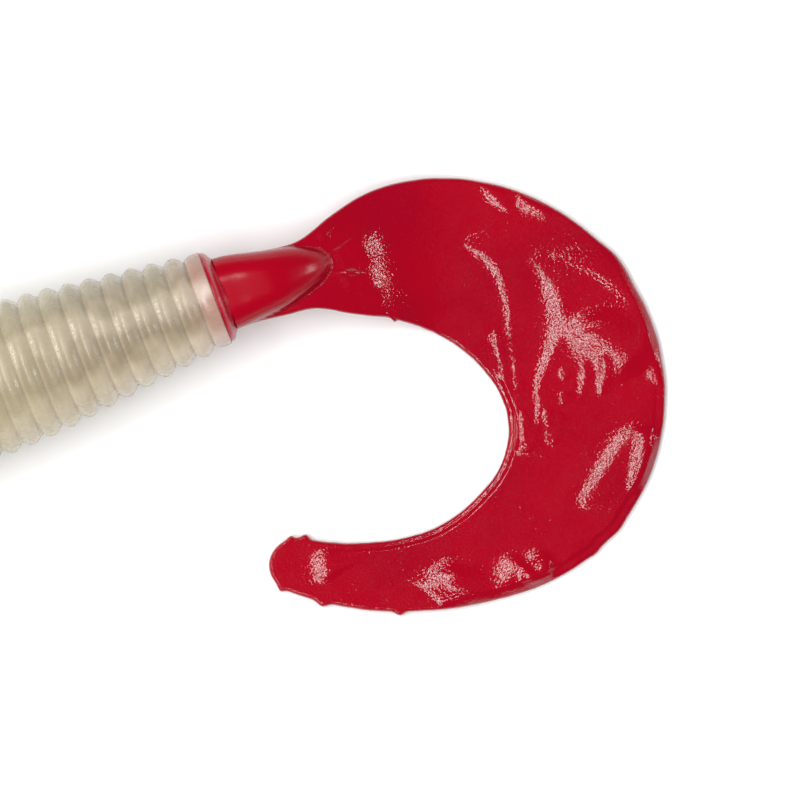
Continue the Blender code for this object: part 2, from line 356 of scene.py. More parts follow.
def grid_normals(points):
    """Outward normals of a tube of rings, by differences between its neighbours."""
    around = np.roll(points, -1, axis=1) - np.roll(points, 1, axis=1)
    along = np.gradient(points, axis=0)
    return unit(np.cross(around, along))


def tube(name, points, before, after, caps, material):
    """A closed mesh from rings of points.

    A face takes its corners' normals from `after` at its first ring and from `before` at its
    second, so that a ring can be a crease.
    """
    stations, ring = points.shape[:2]
    index = np.arange(stations * ring).reshape(stations, ring)
    index_next = np.roll(index, -1, axis=1)
    quads = np.stack([index[:-1], index_next[:-1], index_next[1:], index[1:]], axis=-1)
    corners = np.stack(
        [after[:-1], np.roll(after, -1, axis=1)[:-1], np.roll(before, -1, axis=1)[1:], before[1:]],
        axis=-2,
    )
    faces = quads.reshape(-1, 4).tolist()
    normals = corners.reshape(-1, 3).tolist()
    vertices = points.reshape(-1, 3)
    for row, facing in ((index[0], -1), (index[-1], 1)):
        cap_faces, centre = caps(row.tolist(), len(vertices))
        if centre is not None:
            vertices = np.vstack([vertices, vertices[row].mean(axis=0)])
        ends = vertices[row]
        inward = points[stations // 2].mean(axis=0) - ends.mean(axis=0)
        flat = np.cross(ends[len(ends) // 4] - ends[0], ends[len(ends) // 2] - ends[0])
        flat = unit(flat) * (-1 if np.dot(flat, inward) > 0 else 1)
        if facing < 0:
            cap_faces = [face[::-1] for face in cap_faces]
        for face in cap_faces:
            faces.append(face)
            normals.extend([flat.tolist()] * len(face))
    mesh = bpy.data.meshes.new(name)
    mesh.from_pydata((vertices * MM).tolist(), [], faces)
    mesh.shade_smooth()
    rest = mesh.attributes.new("rest_mm", "FLOAT_VECTOR", "POINT")
    rest.data.foreach_set("vector", vertices.astype(np.float32).ravel())
    mesh.normals_split_custom_set(normals)
    mesh.materials.append(material)
    obj = bpy.data.objects.new(name, mesh)
    bpy.context.scene.collection.objects.link(obj)
    return obj


def fan_caps(row, centre):
    """Triangles from an end ring to its centre."""
    return [[a, b, centre] for a, b in zip(row, row[1:] + row[:1])], centre


def strip_caps(row, _):
    """Faces between the top and the bottom of a flat end ring, which needs no centre."""
    half = len(row) // 2
    top, bottom = row[: half + 1], [row[0]] + row[:half:-1] + [row[half]]
    faces = []
    for side in range(half):
        face = [top[side], top[side + 1], bottom[side + 1], bottom[side]]
        faces.append(list(dict.fromkeys(face)))
    return faces, None


def joint_point(name):
    """A joint's place in millimetres."""
    return np.array(JOINTS[name]["pos_m"], float) / MM


# ------------------------------------------------------------------ the ribbed body


def crest_radius(x):
    """The radius over the ribs: a swelling nose, a barrel, and a taper that straightens."""
    along = np.clip((NOSE_SWELL_END - x) / NOSE_SWELL_END, 0.0, 1.0)
    nose = NOSE_EDGE_RADIUS + (BODY_RADIUS - NOSE_EDGE_RADIUS) * np.sqrt(1 - along * along)
    curved = np.clip(x - TAPER_START, 0.0, TAPER_STRAIGHT_FROM - TAPER_START)
    straight = np.maximum(0.0, x - TAPER_STRAIGHT_FROM)
    slope = (TAPER_STRAIGHT_FROM - TAPER_START) / TAPER_ARC_RADIUS
    return nose - curved * curved / (2 * TAPER_ARC_RADIUS) - straight * slope


def groove_x(index):
    """Where the groove ahead of a rib is, along the body."""
    return NOSE_LENGTH + RIB_PITCH * index


def collar_face():
    """Where the body ends, along its axis."""
    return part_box("rear_section")[1].x / MM


def nose_outline():
    """The flat face a hook's head butts against, its rounded edge, and the first swelling."""
    profile = [(0.0, radius) for radius in NOSE_FACE_RINGS]
    for step in range(1, NOSE_EDGE_RINGS + 1):
        angle = math.pi / 2 * step / NOSE_EDGE_RINGS
        widening = (NOSE_EDGE_RADIUS - NOSE_FACE_RADIUS) * math.sin(angle)
        profile.append((NOSE_EDGE_X * (1 - math.cos(angle)), NOSE_FACE_RADIUS + widening))
    groove = float(crest_radius(NOSE_LENGTH)) - RIB_DEPTH
    for step in range(1, NOSE_FALL_RINGS):
        angle = math.pi / 2 * step / NOSE_FALL_RINGS
        x = NOSE_EDGE_X + (NOSE_LENGTH - NOSE_EDGE_X) * math.sin(angle)
        profile.append((x, groove + (NOSE_EDGE_RADIUS - groove) * math.cos(angle)))
    return [(x, radius, NOSE_RIB, False) for x, radius in profile]


def rib_outline():
    """(x, radius, rib number, is a groove) along the body's ribs, front to rear."""
    half = RIB_PITCH / 2
    rows = []
    for rib in range(RIB_COUNT):
        start = groove_x(rib)
        wander = RIB_WANDER * noise.noise(Vector((rib * 1.7, 4.2, 0.6)))
        for ring in range(RINGS_PER_RIB):
            x = start + half - half * math.cos(math.pi * ring / RINGS_PER_RIB)
            rise = abs(math.sin(math.pi * (x - start) / RIB_PITCH)) ** RIB_ROUNDNESS
            radius = float(crest_radius(x)) - RIB_DEPTH + RIB_DEPTH * rise * (1 + wander)
            rows.append((x, radius, rib, ring == 0))
    return rows


def collar_outline(start, end):
    """The rounded band behind the last rib: an arc that stops short of falling to its rear face."""
    low = float(crest_radius(start)) - RIB_DEPTH
    rows = [(start, low, RIB_COUNT, True)]
    for step in range(1, COLLAR_RINGS + 1):
        angle = math.radians(COLLAR_ARC_DEG) * step / COLLAR_RINGS
        share = (1 - math.cos(angle)) / (1 - math.cos(math.radians(COLLAR_ARC_DEG)))
        radius = low + (COLLAR_RADIUS - low) * math.sin(angle)
        rows.append((start + (end - start) * share, radius, RIB_COUNT, False))
    rows.append((end, COLLAR_BORE_RADIUS, RIB_COUNT, False))
    return rows


def surface_wander(x, angle):
    """How the moulded surface wanders from true: a broad unevenness and a finer one.

    In every call of noise.noise, the bare numbers set its scale or pick a stretch of it.
    """
    broad = noise.noise(Vector((x * 0.16, 1.3 * math.cos(angle), 1.3 * math.sin(angle))))
    fine = noise.noise(Vector((x * 0.5, 3 * math.cos(angle), 3 * math.sin(angle) + 9.0)))
    return broad + 0.5 * fine


def rib_lean(rib, turn):
    """A rib's crest leans a little forward on one side of the body and back on the other."""
    return RIB_LEAN * noise.noise(Vector((rib * 2.3, 7.7, 1.1))) * np.cos(turn - rib * 1.9)


def body_surface():
    """Rings of points round the body, their normals before and after, and the grooves' rows."""
    collar = collar_outline(groove_x(RIB_COUNT), collar_face())
    rows = nose_outline() + rib_outline() + collar
    turn = 2 * math.pi * np.arange(BODY_ROUND) / BODY_ROUND
    points = np.zeros((len(rows), BODY_ROUND, 3))
    seam = np.abs(np.degrees(np.arcsin(np.sin(turn))))
    ridge = PARTING_RIDGE * np.exp(-((seam / PARTING_WIDTH_DEG) ** 2))
    for index, (x, radius, rib, _) in enumerate(rows):
        wander = SURFACE_WANDER * np.array([surface_wander(x, angle) for angle in turn])
        ring = radius + min(1.0, radius / CALM_RADIUS) * (wander + ridge)
        points[index, :, 0] = x
        if 0 <= rib < RIB_COUNT:
            crest = math.sin(math.pi * (x - groove_x(rib)) / RIB_PITCH)
            points[index, :, 0] += rib_lean(rib, turn) * crest
        points[index, :, 1] = ring * np.cos(turn)
        points[index, :, 2] = ring * np.sin(turn)
    around = np.roll(points, -1, axis=1) - np.roll(points, 1, axis=1)
    back = np.vstack([points[1:2] - points[:1], np.diff(points, axis=0)])
    ahead = np.vstack([np.diff(points, axis=0), points[-1:] - points[-2:-1]])
    creases = np.array([row[3] for row in rows])[:, None, None]
    before = unit(np.cross(around, np.where(creases, back, back + ahead)))
    after = unit(np.cross(around, np.where(creases, ahead, back + ahead)))
    grooves = {row[2]: index for index, row in enumerate(rows) if row[3]}
    return points, before, after, grooves


def make_body(material):
    """The body's stretches, and the collar's own, which is rigid."""
    points, before, after, grooves = body_surface()
    first = 0
    for name, joint_name, node, seam_rib in BODY_PIECES:
        last = grooves[seam_rib]
        part = slice(first, last + 1)
        piece = tube(name, points[part], before[part], after[part], fan_caps, material)
        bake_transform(piece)
        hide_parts(node)
        first = last
    part = slice(first, len(points))
    piece = tube("grub_rear", points[part], before[part], after[part], fan_caps, material)
    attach(piece, "rear_section")
    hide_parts("rear_section")


# ------------------------------------------------------------------ the curly tail


def midline(stations):
    """The plan places and headings of the tail's midline."""
    root = joint_point("tail_root_flex")
    s = np.asarray(stations, float)
    x = np.full_like(s, root[0])
    y = np.full_like(s, root[1])
    heading = np.zeros_like(s)
    left = s.copy()
    for length, turn_deg in TAIL_ARCS:
        step = np.clip(left, 0.0, length)
        turn = math.radians(turn_deg) * step / length
        half = turn / 2
        chord = step * np.sinc(half / math.pi)
        x += chord * np.cos(heading + half)
        y += chord * np.sin(heading + half)
        heading += turn
        left -= length
    return x, y, heading


def on_plan(s, u):
    """The plan place at s along the tail and u to the left of its midline."""
    x, y, heading = midline(s)
    return x - u * np.sin(heading), y + u * np.cos(heading)


def heading_near(point, stations):
    """The midline's heading at whichever of the stations is nearest to the point."""
    x, y, heading = midline(stations)
    return float(heading[np.argmin(np.hypot(x - point[0], y - point[1]))])


def root_lean(s):
    """The stem leaves the body on its axis, a little to the left of the tail's own midline."""
    return ROOT_LEAN * (1 - ease(s, 0.0, ROOT_LEAN_LENGTH))


def side_width(s, side):
    """From the midline to the tail's edge on one side, with its flash and its round tip."""
    tip = TAIL_LENGTH - TIP_RADIUS
    width = curve_through(s, TAIL_HALF_WIDTHS)
    for place, nub_side, height, reach in NUBS:
        if nub_side == side:
            width = width + height * np.exp(-(((s - place) / reach) ** 2))
    for number, (pitch, size) in enumerate(EDGE_WAVES):
        wave = [noise.noise(Vector((place / pitch, 5.0 * side, number * 3.1))) for place in s]
        width = width + size * np.array(wave) * ease(s, *EDGE_WAVES_RISE)
    width = width + side * root_lean(s)
    past = np.clip((s - tip) / TIP_RADIUS, 0.0, 1.0)
    return width * np.sqrt(1 - past * past)


def edge_distance(s, u, outer, inner):
    """How far a place is inside the tail's outline."""
    tip = TAIL_LENGTH - TIP_RADIUS
    past = np.clip((s - tip) / TIP_RADIUS, 0.0, 1.0)
    straight = np.minimum(outer - u, u + inner)
    full = np.where(u > 0, outer, inner) / np.sqrt(np.maximum(1 - past * past, 1e-6))
    rounded = TIP_RADIUS * (1 - np.sqrt(past * past + (u / full) ** 2))
    return np.maximum(np.where(past > 0, rounded, straight), 0.0)


def lip_share(s, side):
    """How far one edge's flash stands as a lip, from 0 to 1."""
    rise, full, fall, end = LIP_STRETCHES[side]
    return ease(s, rise, full) * (1 - ease(s, fall, end))


def flat_half(s, u, outer, inner):
    """Half the blade's thickness, and how far each place is inside its outline.

    The plain edge is rounded straight up to the plateau. A lipped edge has a thin rounded lip of
    flash first, then a bevel up to the plateau.
    """
    inside = edge_distance(s, u, outer, inner)
    lip = np.where(u > 0, LIP_WIDTH_OUTER, LIP_WIDTH_INNER)
    bevel = ease((inside - lip) / BEVEL_WIDTH, 0.0, 1.0)
    lipped = LIP_HALF * quarter_round(inside, LIP_HALF) + (PLATEAU_HALF - LIP_HALF) * bevel
    plain = PLATEAU_HALF * quarter_round(inside, EDGE_ROUNDING)
    share = np.where(u > 0, lip_share(s, 1), lip_share(s, -1))
    return plain + (lipped - plain) * share, inside


def core_share(s, u):
    """The stem's round core as a share of its height, and negative outside its outline.

    The outline closes like the tip of a thumb where the core ends on the blade.
    """
    narrowing = np.sqrt(np.clip(1 - (s / CORE_LENGTH) ** 2, 0.0, 1.0))
    swell = CORE_ROOT_SWELL * (1 - ease(s, 0.0, CORE_ROOT_LENGTH))
    width = (CORE_HALF_WIDTH + swell) * narrowing + 1e-6
    offset = root_lean(s) + CORE_OFFSET * ease(s, 0.0, CORE_LENGTH)
    out = np.minimum(np.abs((u - offset) / width), CORE_FAR)
    across = 1 - out**CORE_SQUARENESS
    closing = np.sqrt(np.clip(1 - (s / CORE_LENGTH) ** CORE_END_SQUARENESS, 0.0, 1.0))
    inside = closing * np.maximum(across, 0) ** (1 / CORE_SQUARENESS)
    return inside - np.maximum(-across, 0) ** (1 / CORE_SQUARENESS)


def fold_line(rows):
    """A finely stepped smooth curve through a fold's points: plan places and widths."""
    rows = np.array(rows, float)
    knots = np.arange(len(rows), dtype=float)
    fine = np.linspace(0, len(rows) - 1, FOLD_STEPS * (len(rows) - 1) + 1)
    s, u, width = (
        curve_through(fine, np.column_stack([knots, rows[:, column]])) for column in range(3)
    )
    x, y = on_plan(s, u)
    return np.column_stack([x, y]), width


def nearest_on_line(px, py, line, widths):
    """For every plan place, its distance to the left of a line, how far along the line that is,
    and the fold's width there. The last value is the line's own length.
    """
    steps = np.diff(line, axis=0)
    lengths = np.linalg.norm(steps, axis=1)
    run = np.concatenate([[0.0], np.cumsum(lengths)])
    best = np.full(px.shape, np.inf)
    side = np.zeros(px.shape)
    place = np.zeros(px.shape)
    width = np.ones(px.shape)
    for number, ((step_x, step_y), length) in enumerate(zip(steps, lengths)):
        dx, dy = px - line[number, 0], py - line[number, 1]
        along = np.clip((dx * step_x + dy * step_y) / length**2, 0, 1)
        gap_x, gap_y = dx - along * step_x, dy - along * step_y
        gap = np.hypot(gap_x, gap_y)
        nearer = gap < best
        best = np.where(nearer, gap, best)
        side = np.where(nearer, np.sign(step_x * gap_y - step_y * gap_x), side)
        place = np.where(nearer, run[number] + along * length, place)
        here = widths[number] + along * (widths[number + 1] - widths[number])
        width = np.where(nearer, here, width)
    return side * best, place, width, run[-1]


def fold_height(px, py, steepness, behind, rows):
    """A soft fold's height over a plan: a bell whose front is steepest on the fold's line."""
    line, widths = fold_line(rows)
    distance, place, width, length = nearest_on_line(px, py, line, widths)
    from_crest = distance + width
    reach = np.where(from_crest > 0, width, width * behind)
    ending = FOLD_FADE * widths.max()
    fade = ease(place, 0.0, ending) * (1 - ease(place, length - ending, length))
    height = steepness * FOLD_SLOPE / BELL_STEEPEST * width
    return height * fade * np.exp(-0.5 * (from_crest / reach) ** 2)


def tail_stations():
    """Distances along the tail, with every seam among them and closer ones round the tip."""
    tip = TAIL_LENGTH - TIP_RADIUS
    stops = (0.0,) + TAIL_SEAMS + (tip,)
    stations = []
    for start, end in zip(stops, stops[1:]):
        count = math.ceil((end - start) / STATION_STEP)
        stations.extend(start + (end - start) * step / count for step in range(count))
    for step in range(TIP_RINGS + 1):
        angle = math.radians(TIP_LAST_DEG) * step / TIP_RINGS
        stations.append(tip + TIP_RADIUS * math.sin(angle))
    return np.array(stations)


def tail_surface():
    """Rings of points round the tail, and the stations they stand at."""
    stations = tail_stations()
    outer, inner = side_width(stations, 1), side_width(stations, -1)
    squeeze = np.clip(np.minimum(outer, inner) / TIP_RADIUS, 0, 1)
    offsets = squeeze[:, None] * np.array(EDGE_OFFSETS)
    left = outer[:, None] - offsets
    right = -inner[:, None] + offsets[:, ::-1]
    share = np.linspace(0, 1, INNER_COLUMNS + 2)[1:-1]
    middle = left[:, -1:] + (right[:, :1] - left[:, -1:]) * share
    u = np.hstack([left, middle, right])
    s = np.repeat(stations[:, None], u.shape[1], axis=1)
    px, py = on_plan(s, u)
    flat, inside = flat_half(s, u, outer[:, None], inner[:, None])
    level = -DROOP * ease(s, DROOP_START, DROOP_END)
    share = core_share(s, u)
    crown = curve_through(s, CORE_CROWN) - level
    keel = CORE_HALF_HEIGHT * (1 - CORE_KEEL_LOSS * ease(s, CORE_ROOT_LENGTH, CORE_LENGTH))
    over = smooth_max(flat, np.maximum(share * crown, -1.0), CORE_FILLET)
    under = smooth_max(flat, np.maximum(share * keel, -1.0), CORE_FILLET)
    for half in (over, under):
        half[:, 0] = half[:, -1] = 0.0
    folds = sum(fold_height(px, py, *fold) for fold in FOLDS)
    folds = folds * ease(inside, *FOLD_EDGE_FADE) * ease(s, *FOLD_ROOT_FADE)
    top = np.stack([px, py, level + folds + over], axis=-1)
    bottom = np.stack([px, py, level + folds - under], axis=-1)
    return stations, np.concatenate([top, bottom[:, -2:0:-1]], axis=1)


def make_tail(material):
    """The tail's stretches from the stem to the tip."""
    stations, points = tail_surface()
    normals = grid_normals(points)
    seams = [0] + [int(np.argmin(np.abs(stations - seam))) for seam in TAIL_SEAMS]
    ends = seams[1:] + [len(stations) - 1]
    for (name, joint_name, node), first, last in zip(TAIL_PIECES, seams, ends):
        part = slice(first, last + 1)
        piece = tube(name, points[part], normals[part], normals[part], strip_caps, material)
        hinge = joint_point(joint_name)
        heading = heading_near(hinge, stations[part])
        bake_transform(piece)
        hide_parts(node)


def make_plug(material):
    """The red core inside the rear section, and the thin flange that shows behind the collar."""
    low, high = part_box("tail_plug")
    front, rear = low.x / MM, high.x / MM
    face = collar_face()
    rows = [(front + behind, radius) for behind, radius in PLUG_NOSE]
    rows += [(face + behind, radius) for behind, radius in FLANGE_RIM]
    rows += [(rear + behind, radius) for behind, radius in FLANGE_BACK]
    turn = 2 * math.pi * np.arange(BODY_ROUND) / BODY_ROUND
    points = np.zeros((len(rows), BODY_ROUND, 3))
    for index, (x, radius) in enumerate(rows):
        points[index, :, 0] = x
        points[index, :, 1] = radius * np.cos(turn)
        points[index, :, 2] = radius * np.sin(turn)
    normals = grid_normals(points)
    piece = tube("tail_plug_skin", points, normals, normals, fan_caps, material)
    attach(piece, "rear_section")
    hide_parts("tail_plug")


# ------------------------------------------------------------------ materials


# Albedo over the body's width, painted with light and shade: lighter painted edges, a painted dark
# band right of the middle, a painted lit band left of it and a dimmer painted band near the left
# edge (place from the right-hand side at 0 to the left at 1, colour)
PEARL_PAINTED_SHADING = (
    (0.0, (0.62, 0.54, 0.415)),
    (0.12, (0.56, 0.475, 0.345)),
    (0.24, (0.41, 0.34, 0.23)),
    (0.34, (0.3, 0.24, 0.16)),
    (0.45, (0.32, 0.258, 0.182)),
    (0.56, (0.44, 0.37, 0.272)),
    (0.7, (0.48, 0.406, 0.3)),
    (0.81, (0.34, 0.285, 0.2)),
    (0.9, (0.38, 0.328, 0.235)),
    (1.0, (0.5, 0.45, 0.34)),
)
PEARL_THICK = (0.5, 0.435, 0.27, 1)
# Painted light: a lighter tone laid along each groove, where shade falls
PEARL_PAINTED_GROOVE_LIGHT = (0.86, 0.78, 0.64, 1)
# Painted shade over the front of each rib
PEARL_PAINTED_RIB_SHADE = (0.15, 0.12, 0.08, 1)
# Painted glints: streaks of highlight along each rib's flank
PEARL_PAINTED_GLINT = (0.85, 0.79, 0.68, 1)
BLUSH = (0.4, 0.225, 0.18, 1)
# A lit copy of the pink, painted in a band just left of the middle, and a lighter copy painted
# along the right-hand side
BLUSH_PAINTED_LIGHT = (0.62, 0.48, 0.42, 1)
BLUSH_PAINTED_SIDE_LIGHT = (0.56, 0.4, 0.35, 1)
COLLAR_RIM = (0.5, 0.12, 0.12, 1)
RED = (0.35, 0.001, 0.0115, 1)
RED_CLOUD = (0.315, 0.001, 0.0125, 1)
RED_GLOSS_TINT = (0.8, 1.0, 1.0, 1)
RED_FLANGE = (0.38, 0.004, 0.02, 1)
RED_FLANGE_LIP = (0.42, 0.05, 0.065, 1)
PAPER = (0.9, 0.9, 0.9, 1)
PLASTIC_IOR = 1.49
# The middle of a noise's range, which is stretched to the whole range of a roughness
MOTTLE = (0.3, 0.7)
RED_ROUGHNESS = (0.08, 0.11)
FLANGE_ROUGHNESS = (0.2, 0.3)
PEARL_ROUGHNESS = (0.2, 0.34)
RED_GRAIN = 0.045
FLANGE_GRAIN = 0.02
PEARL_GRAIN = 0.03
# The stem is duller and smoother than the blade, which starts past the stem's tip or beside it.
PAST_STEM_X = (81.5, 84.5)
BESIDE_STEM_Y = (-8, -14)
STEM_ROUGHER = 0.12
STEM_GRAIN_SHARE = 0.12
STEM_SPECULAR = 0.22
BLADE_SPECULAR = 0.5
# The flange's milky lip: (distance behind the collar's face, reach)
FLANGE_LIP = (0.5, 0.3)
# Over a rib, from 0 at the groove ahead of it to 1 at the groove behind it: (centre, reach)
# Places of the painted groove light, the painted rib shade and the painted glints
PAINTED_GROOVE_LIGHT_PLACE = (0.93, 0.3)
PAINTED_RIB_SHADE_PLACE = (0.32, 0.3)
PAINTED_GLINT_PLACE = (0.12, 0.14)
PAINTED_GROOVE_LIGHT_SHARE = 0.1
PAINTED_RIB_SHADE_SHARE = 0.12
# Over the body's width, from -1 on its right-hand side to 1 on its left: (centre, reach)
# Where the painted glints lie across the body
PAINTED_GLINTS_ACROSS = (0.22, 0.36)
# Where the pink's painted lit band lies
BLUSH_PAINTED_LIGHT_ACROSS = (0.25, 0.4)
# The same, as (where it starts, where it is full)
# Where the pink's lighter painted copy along the right-hand side starts and is full
BLUSH_PAINTED_SIDE_LIGHT_ACROSS = (-0.55, -0.85)
GRAIN_ACROSS = (0.8, 0.5)
TONES_WANDER = 0.7
# How far from the body's axis its tones across start, and where they are full
ACROSS_FADE = (0.5, 3.4)
# Along the body, as (where it starts, where it is full, its share): the even tone of the thick
# front, and the red core showing through the last ribs, the collar and the collar's rim
THICK_FRONT = (62.0, 44.0, 0.45)
# The pink mixed in here carries a painted lit band and a lighter painted right-hand side
BLUSH_RIBS = (66.5, 69.0, 0.28)
BLUSH_COLLAR = (69.1, 69.6, 0.75)
BLUSH_RIM = (70.6, 70.95, 0.35)


class Nodes:
    """A short way to write a material's nodes."""

    def __init__(self, name):
        self.material = bpy.data.materials.new(name)
        self.material.use_nodes = True
        self.tree = self.material.node_tree
        self.shader = self.tree.nodes["Principled BSDF"]
        rest = self.add("ShaderNodeAttribute")
        rest.attribute_name = "rest_mm"
        self.rest = rest.outputs["Vector"]

    def add(self, kind, **inputs):
        """A node of a kind, with its inputs set or linked."""
        node = self.tree.nodes.new(kind)
        for key, value in inputs.items():
            self.put(node, key, value)
        return node

    def put(self, node, key, value):
        """Set or link an input, by its name or as _ and its number."""
        socket = node.inputs[int(key[1:]) if key[0] == "_" else key.replace("_", " ")]
        if isinstance(value, bpy.types.NodeSocket):
            self.tree.links.new(value, socket)
        else:
            socket.default_value = value

    def noise(self, scale, detail=2.0, roughness=0.5):
        """Noise from 0 to 1, with this many waves to the millimetre."""
        node = self.add(
            "ShaderNodeTexNoise", Vector=self.rest, Scale=scale, Detail=detail,
            Roughness=roughness,
        )
        return node.outputs["Fac"]

    def ramp(self, value, low, high, to_low=0.0, to_high=1.0, smooth=True):
        """A value between low and high moved to between the other two, and held there."""
        node = self.add(
            "ShaderNodeMapRange", Value=value, From_Min=low, From_Max=high,
            To_Min=to_low, To_Max=to_high,
        )
        node.interpolation_type = "SMOOTHSTEP" if smooth else "LINEAR"
        return node.outputs["Result"]

    def math(self, operation, first, second=0.0):
        """One step of arithmetic, on one value or two."""
        node = self.add("ShaderNodeMath", _0=first, _1=second)
        node.operation = operation
        return node.outputs[0]

    def mix(self, share, first, second):
        """The first colour, with this share of the second."""
        node = self.tree.nodes.new("ShaderNodeMix")
        node.data_type = "RGBA"
        for number, value in ((0, share), (6, first), (7, second)):
            self.put(node, f"_{number}", value)
        return node.outputs[2]

    def part(self, axis):
        """One part of the rest place: 0 along the body, 1 across it, 2 up."""
        node = self.add("ShaderNodeSeparateXYZ", Vector=self.rest)
        return node.outputs[axis]

    def across(self):
        """From -1 to 1 over the body's width: the sideways share of the way out from its axis.

        It fades to nothing over the nose's flat face, near the axis.
        """
        split = self.add("ShaderNodeSeparateXYZ", Vector=self.rest)
        flat = self.add("ShaderNodeCombineXYZ", Y=split.outputs[1], Z=split.outputs[2])
        away = self.add("ShaderNodeVectorMath", _0=flat.outputs[0])
        away.operation = "NORMALIZE"
        reach = self.add("ShaderNodeVectorMath", _0=flat.outputs[0])
        reach.operation = "LENGTH"
        sideways = self.add("ShaderNodeSeparateXYZ", Vector=away.outputs[0]).outputs[1]
        return self.math("MULTIPLY", sideways, self.ramp(reach.outputs["Value"], *ACROSS_FADE))

    def near(self, value, centre, reach):
        """One at the centre, falling smoothly to nothing at the reach."""
        gap = self.math("ABSOLUTE", self.math("SUBTRACT", value, centre))
        return self.ramp(gap, reach, 0.0)

    def bands(self, value, stops):
        """The colour at a value from 0 to 1, from (place, colour) stops."""
        node = self.add("ShaderNodeValToRGB", Fac=value)
        elements = node.color_ramp.elements
        while len(elements) < len(stops):
            elements.new(0.5)
        for element, (place, colour) in zip(elements, stops):
            element.position = place
            element.color = (*colour, 1)
        return node.outputs["Color"]

    def bump(self, height, distance):
        """The normal of small relief, this many millimetres from its lowest to its highest."""
        node = self.add("ShaderNodeBump", Height=height, Distance=distance * MM, Strength=1.0)
        return node.outputs["Normal"]


def red_material():
    """Glossy red plastic with a fine grain on the blade and a smoother, duller stem."""
    nodes = Nodes("red_tail_plastic")
    cloud = nodes.ramp(nodes.noise(0.09, 3.0), 0.35, 0.65)
    nodes.put(nodes.shader, "Base Color", nodes.mix(cloud, RED, RED_CLOUD))
    nodes.put(nodes.shader, "IOR", PLASTIC_IOR)
    past_stem = nodes.ramp(nodes.part(0), *PAST_STEM_X)
    beside_stem = nodes.ramp(nodes.part(1), *BESIDE_STEM_Y)
    blade = nodes.math("MAXIMUM", past_stem, beside_stem)
    rough = nodes.ramp(nodes.noise(0.5, 3.0), *MOTTLE, *RED_ROUGHNESS)
    rougher = nodes.ramp(blade, 0.0, 1.0, STEM_ROUGHER, 0.0)
    nodes.put(nodes.shader, "Roughness", nodes.math("ADD", rough, rougher))
    nodes.put(nodes.shader, "Specular Tint", RED_GLOSS_TINT)
    specular = nodes.ramp(blade, 0.0, 1.0, STEM_SPECULAR, BLADE_SPECULAR)
    nodes.put(nodes.shader, "Specular IOR Level", specular)
    strength = nodes.ramp(blade, 0.0, 1.0, STEM_GRAIN_SHARE, 1.0)
    grain = nodes.math("MULTIPLY", nodes.noise(3.9, 1.0, 0.5), strength)
    nodes.put(nodes.shader, "Normal", nodes.bump(grain, RED_GRAIN))
    return nodes.material


def flange_material():
    """Red plastic that thins to a slightly milky lip."""
    nodes = Nodes("red_flange_plastic")
    wander = nodes.math("MULTIPLY", nodes.noise(0.8), 0.12)
    x = nodes.math("ADD", nodes.part(0), wander)
    behind, reach = FLANGE_LIP
    lip = nodes.mix(nodes.near(x, collar_face() + behind, reach), RED_FLANGE, RED_FLANGE_LIP)
    nodes.put(nodes.shader, "Base Color", lip)
    rough = nodes.ramp(nodes.noise(1.0), *MOTTLE, *FLANGE_ROUGHNESS)
    nodes.put(nodes.shader, "Roughness", rough)
    nodes.put(nodes.shader, "Normal", nodes.bump(nodes.noise(4.0, 2.0, 0.6), FLANGE_GRAIN))
    return nodes.material


def rib_phase(nodes, x):
    """From 0 to 1 over each rib, groove to groove."""
    past_nose = nodes.math("SUBTRACT", x, NOSE_LENGTH)
    return nodes.math("FRACT", nodes.math("DIVIDE", past_nose, RIB_PITCH))


def rib_tones(nodes, tone, phase, across):
    """Painted light along each groove, painted shade over the front of each rib, and painted glints
    along its flank.

    The painted groove light's phase is moved on, to put its centre at a half, because it crosses
    the groove.
    """
    # Painted light along each groove
    centre, reach = PAINTED_GROOVE_LIGHT_PLACE
    moved = nodes.math("FRACT", nodes.math("ADD", phase, 1.5 - centre))
    glow = nodes.ramp(nodes.near(moved, 0.5, reach), 0.0, 1.0, 0.0, PAINTED_GROOVE_LIGHT_SHARE)
    tone = nodes.mix(glow, tone, PEARL_PAINTED_GROOVE_LIGHT)
    # Painted shade over each rib's front
    dim = nodes.ramp(nodes.near(phase, *PAINTED_RIB_SHADE_PLACE), 0.0, 1.0, 0.0, PAINTED_RIB_SHADE_SHARE)
    tone = nodes.mix(dim, tone, PEARL_PAINTED_RIB_SHADE)
    # Painted glints along each rib's flank, broken up by grain
    flank = nodes.near(phase, *PAINTED_GLINT_PLACE)
    flank = nodes.math("MULTIPLY", flank, nodes.near(across, *PAINTED_GLINTS_ACROSS))
    grains = nodes.ramp(nodes.noise(4.0, 2.0, 0.7), 0.42, 0.62, 0.1, 0.8)
    return nodes.mix(nodes.math("MULTIPLY", flank, grains), tone, PEARL_PAINTED_GLINT)


def collar_tones(nodes, tone, x, across):
    """The pink that the red core lends to the last ribs, the collar and most of all its rim, with a
    painted lit band and a lighter painted copy along the right-hand side.
    """
    # Painted light: a lit copy of the pink in a band, and a lighter copy along the right-hand side
    blush = nodes.mix(nodes.near(across, *BLUSH_PAINTED_LIGHT_ACROSS), BLUSH, BLUSH_PAINTED_LIGHT)
    blush = nodes.mix(nodes.ramp(across, *BLUSH_PAINTED_SIDE_LIGHT_ACROSS), blush, BLUSH_PAINTED_SIDE_LIGHT)
    stretches = ((BLUSH_RIBS, blush), (BLUSH_COLLAR, blush), (BLUSH_RIM, COLLAR_RIM))
    for (start, full, share), colour in stretches:
        tone = nodes.mix(nodes.ramp(x, start, full, 0.0, share), tone, colour)
    return tone


